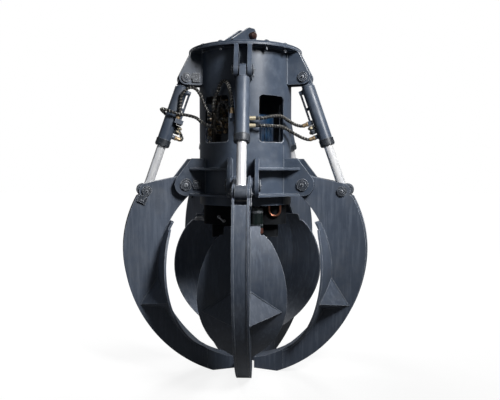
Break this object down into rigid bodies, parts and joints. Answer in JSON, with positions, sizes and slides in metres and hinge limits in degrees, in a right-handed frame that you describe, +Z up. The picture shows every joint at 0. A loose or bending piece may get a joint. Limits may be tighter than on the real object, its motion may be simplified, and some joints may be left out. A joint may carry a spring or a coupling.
{
  "type": "scrap grapple",
  "caption": "Hydraulic orange-peel scrap grapple: a windowed drum with bolted cover and lifting lug carries curved leaf tines, each opened by its own cylinder.",
  "frame": {"origin": "centre of the cover's top face, which is the centre of the free flange holes, on the drum's axis", "axes": "+Z up along the drum's axis, out of the cover; -Y points out over the front tine, tine_1; the other tines follow every 72 degrees anticlockwise seen from above"},
  "size_m": [1.8546, 1.7639, 2.679],
  "materials": {
    "slate_paint": "semi-gloss slate blue-grey paint, scuffed",
    "dark_paint": "semi-gloss dark slate paint",
    "pin_steel": "turned steel, part painted",
    "brown_pin": "red-brown primer",
    "chrome_rod": "hard chrome",
    "hose_rubber": "matt black rubber with a guard",
    "fitting_brass": "zinc-yellow plated fittings",
    "copper_pipe": "copper-coloured pipe",
    "motor_blue": "gloss blue enamel",
    "filter_green": "dark green enamel"
  },
  "bodies": {
    "root": {"drum_shell": "slate_paint", "top_flange": "slate_paint", "top_cover": "slate_paint", "cover_bolts": "pin_steel", "lifting_lug": "slate_paint", "lifting_pin": "brown_pin", "upper_ears": "slate_paint", "upper_pins": "pin_steel", "lower_ears": "slate_paint", "lower_pins": "pin_steel", "pin_keepers": "dark_paint", "ring_plates": "slate_paint", "equipment_deck": "dark_paint", "electric_motor": "motor_blue", "pump": "dark_paint", "valve_manifold": "dark_paint", "hose_fittings": "fitting_brass", "bottom_plate": "dark_paint", "filter_canister": "filter_green", "return_pipes": "copper_pipe", "hoses_1": "hose_rubber", "hoses_2": "hose_rubber", "hoses_3": "hose_rubber", "hoses_4": "hose_rubber", "hoses_5": "hose_rubber"},
    "tine_1": {"tine_1_rib": "slate_paint", "tine_1_shell": "slate_paint", "tine_1_tip": "dark_paint", "tine_1_rod_pin": "pin_steel"},
    "cylinder_barrel_1": {"barrel_1": "slate_paint", "gland_1": "dark_paint"},
    "cylinder_rod_1": {"rod_1": "chrome_rod"},
    "tine_2": {"tine_2_rib": "slate_paint", "tine_2_shell": "slate_paint", "tine_2_tip": "dark_paint", "tine_2_rod_pin": "pin_steel"},
    "cylinder_barrel_2": {"barrel_2": "slate_paint", "gland_2": "dark_paint"},
    "cylinder_rod_2": {"rod_2": "chrome_rod"},
    "tine_3": {"tine_3_rib": "slate_paint", "tine_3_shell": "slate_paint", "tine_3_tip": "dark_paint", "tine_3_rod_pin": "pin_steel"},
    "cylinder_barrel_3": {"barrel_3": "slate_paint", "gland_3": "dark_paint"},
    "cylinder_rod_3": {"rod_3": "chrome_rod"},
    "tine_4": {"tine_4_rib": "slate_paint", "tine_4_shell": "slate_paint", "tine_4_tip": "dark_paint", "tine_4_rod_pin": "pin_steel"},
    "cylinder_barrel_4": {"barrel_4": "slate_paint", "gland_4": "dark_paint"},
    "cylinder_rod_4": {"rod_4": "chrome_rod"},
    "tine_5": {"tine_5_rib": "slate_paint", "tine_5_shell": "slate_paint", "tine_5_tip": "dark_paint", "tine_5_rod_pin": "pin_steel"},
    "cylinder_barrel_5": {"barrel_5": "slate_paint", "gland_5": "dark_paint"},
    "cylinder_rod_5": {"rod_5": "chrome_rod"}
  },
  "joints": [
    {"name": "tine_1_open", "type": "hinge", "parent": "root", "child": "tine_1", "pos_m": [0, -0.495, -1.02], "axis": [-1, 0, 0], "range_deg": [0, 50]},
    {"name": "barrel_1_swing", "type": "hinge", "parent": "root", "child": "cylinder_barrel_1", "pos_m": [0, -0.48, -0.215], "axis": [-1, 0, 0], "range_deg": [0, 1.27], "deforming": ["hoses_1"]},
    {"name": "rod_1_stroke", "type": "slide", "parent": "cylinder_barrel_1", "child": "cylinder_rod_1", "axis": [0, -0.3328, -0.943], "range_m": [-0.24378, 0]},
    {"name": "tine_2_open", "type": "hinge", "parent": "root", "child": "tine_2", "pos_m": [0.47077, -0.15296, -1.02], "axis": [-0.309, -0.9511, 0], "range_deg": [0, 50]},
    {"name": "barrel_2_swing", "type": "hinge", "parent": "root", "child": "cylinder_barrel_2", "pos_m": [0.45651, -0.14833, -0.215], "axis": [-0.309, -0.9511, 0], "range_deg": [0, 1.27], "deforming": ["hoses_2"]},
    {"name": "rod_2_stroke", "type": "slide", "parent": "cylinder_barrel_2", "child": "cylinder_rod_2", "axis": [0.3165, -0.1028, -0.943], "range_m": [-0.24378, 0]},
    {"name": "tine_3_open", "type": "hinge", "parent": "root", "child": "tine_3", "pos_m": [0.29095, 0.40046, -1.02], "axis": [0.809, -0.5878, 0], "range_deg": [0, 50]},
    {"name": "barrel_3_swing", "type": "hinge", "parent": "root", "child": "cylinder_barrel_3", "pos_m": [0.28214, 0.38833, -0.215], "axis": [0.809, -0.5878, 0], "range_deg": [0, 1.27], "deforming": ["hoses_3"]},
    {"name": "rod_3_stroke", "type": "slide", "parent": "cylinder_barrel_3", "child": "cylinder_rod_3", "axis": [0.1956, 0.2693, -0.943], "range_m": [-0.24378, 0]},
    {"name": "tine_4_open", "type": "hinge", "parent": "root", "child": "tine_4", "pos_m": [-0.29095, 0.40046, -1.02], "axis": [0.809, 0.5878, 0], "range_deg": [0, 50]},
    {"name": "barrel_4_swing", "type": "hinge", "parent": "root", "child": "cylinder_barrel_4", "pos_m": [-0.28214, 0.38833, -0.215], "axis": [0.809, 0.5878, 0], "range_deg": [0, 1.27], "deforming": ["hoses_4"]},
    {"name": "rod_4_stroke", "type": "slide", "parent": "cylinder_barrel_4", "child": "cylinder_rod_4", "axis": [-0.1956, 0.2693, -0.943], "range_m": [-0.24378, 0]},
    {"name": "tine_5_open", "type": "hinge", "parent": "root", "child": "tine_5", "pos_m": [-0.47077, -0.15296, -1.02], "axis": [-0.309, 0.9511, 0], "range_deg": [0, 50]},
    {"name": "barrel_5_swing", "type": "hinge", "parent": "root", "child": "cylinder_barrel_5", "pos_m": [-0.45651, -0.14833, -0.215], "axis": [-0.309, 0.9511, 0], "range_deg": [0, 1.27], "deforming": ["hoses_5"]},
    {"name": "rod_5_stroke", "type": "slide", "parent": "cylinder_barrel_5", "child": "cylinder_rod_5", "axis": [-0.3165, -0.1028, -0.943], "range_m": [-0.24378, 0]}
  ],
  "couplings": [
    {"joint": "barrel_1_swing", "follows": "tine_1_open", "ratio": 0.02528},
    {"joint": "rod_1_stroke", "follows": "tine_1_open", "m_per_rad": -0.27878},
    {"joint": "barrel_2_swing", "follows": "tine_2_open", "ratio": 0.02528},
    {"joint": "rod_2_stroke", "follows": "tine_2_open", "m_per_rad": -0.27878},
    {"joint": "barrel_3_swing", "follows": "tine_3_open", "ratio": 0.02528},
    {"joint": "rod_3_stroke", "follows": "tine_3_open", "m_per_rad": -0.27878},
    {"joint": "barrel_4_swing", "follows": "tine_4_open", "ratio": 0.02528},
    {"joint": "rod_4_stroke", "follows": "tine_4_open", "m_per_rad": -0.27878},
    {"joint": "barrel_5_swing", "follows": "tine_5_open", "ratio": 0.02528},
    {"joint": "rod_5_stroke", "follows": "tine_5_open", "m_per_rad": -0.27878}
  ]
}
